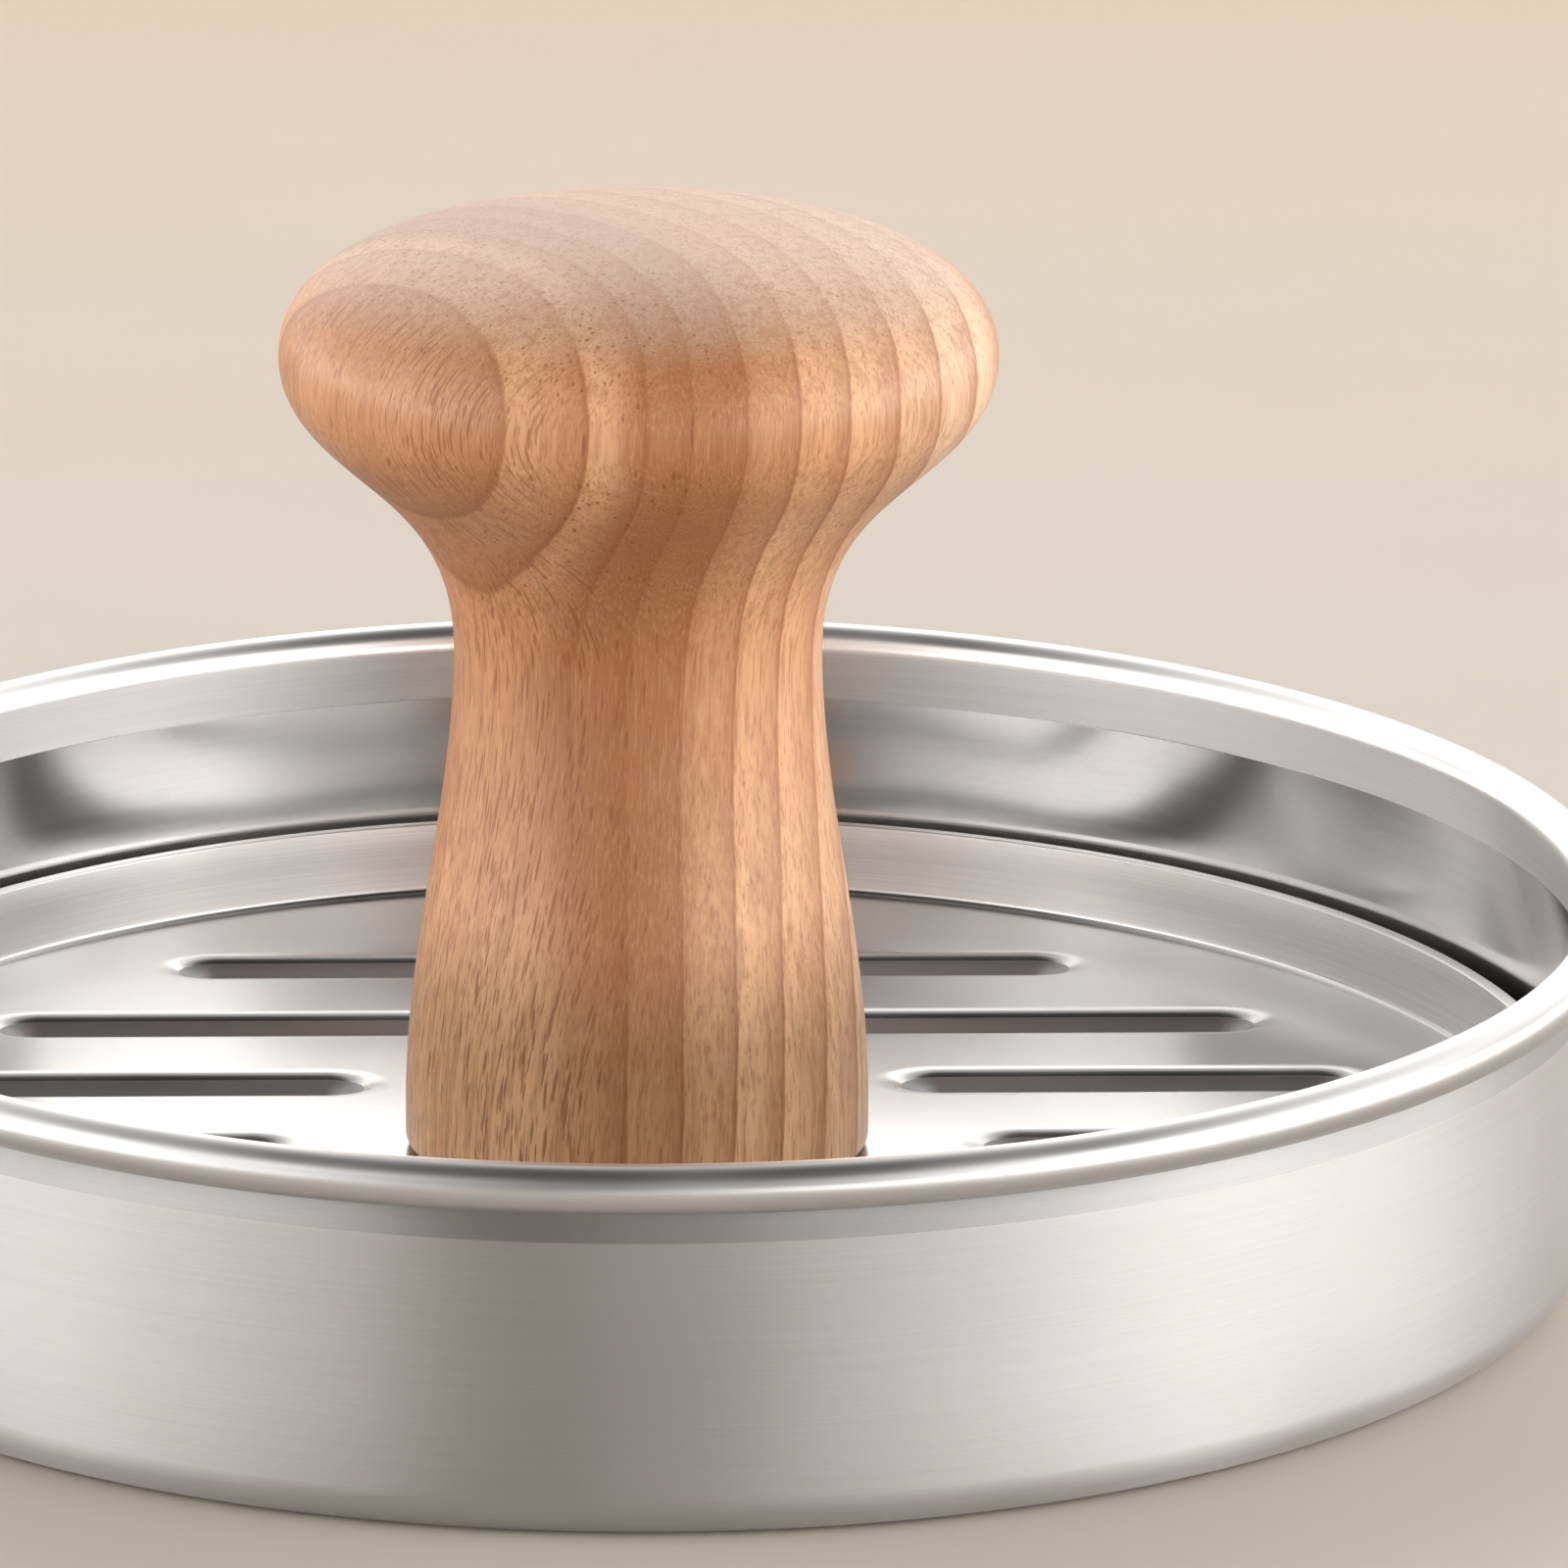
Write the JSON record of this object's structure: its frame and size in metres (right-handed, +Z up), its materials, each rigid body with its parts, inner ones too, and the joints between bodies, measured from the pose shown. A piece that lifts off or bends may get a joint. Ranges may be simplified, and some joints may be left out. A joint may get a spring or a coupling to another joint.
{
  "type": "burger press",
  "caption": "Round steel burger press: a shallow mould dish with a rolled rim, and a grooved, flanged press plate on a turned wooden knob handle that lifts out.",
  "frame": {"origin": "centre of the dish's underside, on the surface that it stands on", "axes": "+Z up, along the handle; the press plate's grooves run along X"},
  "size_m": [0.12, 0.12, 0.0635],
  "materials": {
    "dish_steel": "satin outside with a fine turned grain, polished inside",
    "plate_steel": "satin, pressed",
    "beech": "sanded beech, lightly oiled",
    "screw_steel": "bright plated"
  },
  "bodies": {
    "dish": {"dish": "dish_steel"},
    "press": {"press_plate": "plate_steel", "handle": "beech", "handle_screw": "screw_steel", "screw_washer": "screw_steel"}
  },
  "joints": [
    {"name": "press_lift", "type": "slide", "parent": "dish", "child": "press", "axis": [0, 0, 1], "range_m": [0, 0.05]}
  ]
}
